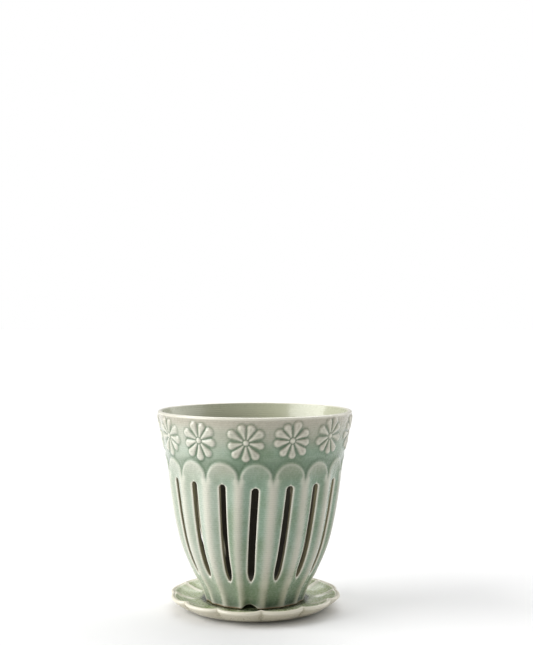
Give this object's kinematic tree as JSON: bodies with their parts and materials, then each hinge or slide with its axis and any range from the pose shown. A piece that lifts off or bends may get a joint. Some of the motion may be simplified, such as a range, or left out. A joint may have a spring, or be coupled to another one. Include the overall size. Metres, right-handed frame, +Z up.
{
  "type": "orchid pot with saucer",
  "caption": "Tapered glazed orchid pot with a band of daisies, arch-topped flutes and long air slots, standing loose in a shallow petal-edged saucer.",
  "frame": {"origin": "on the ground, at the centre of the saucer's foot ring", "axes": "+Z up the pot's axis; the front, where one flute and one drainage notch face, is towards -Y"},
  "size_m": [0.1657, 0.1657, 0.1675],
  "materials": {
    "pot_glaze": "glossy celadon glaze, pale over raised edges and deeper green where it pools",
    "saucer_glaze": "glossy pale celadon glaze, cream along the rim"
  },
  "bodies": {
    "saucer": {"saucer": "saucer_glaze"},
    "pot": {"pot": "pot_glaze"}
  },
  "joints": [
    {"name": "pot_lift", "type": "slide", "parent": "saucer", "child": "pot", "axis": [0, 0, 1], "range_m": [0, 0.06]}
  ]
}
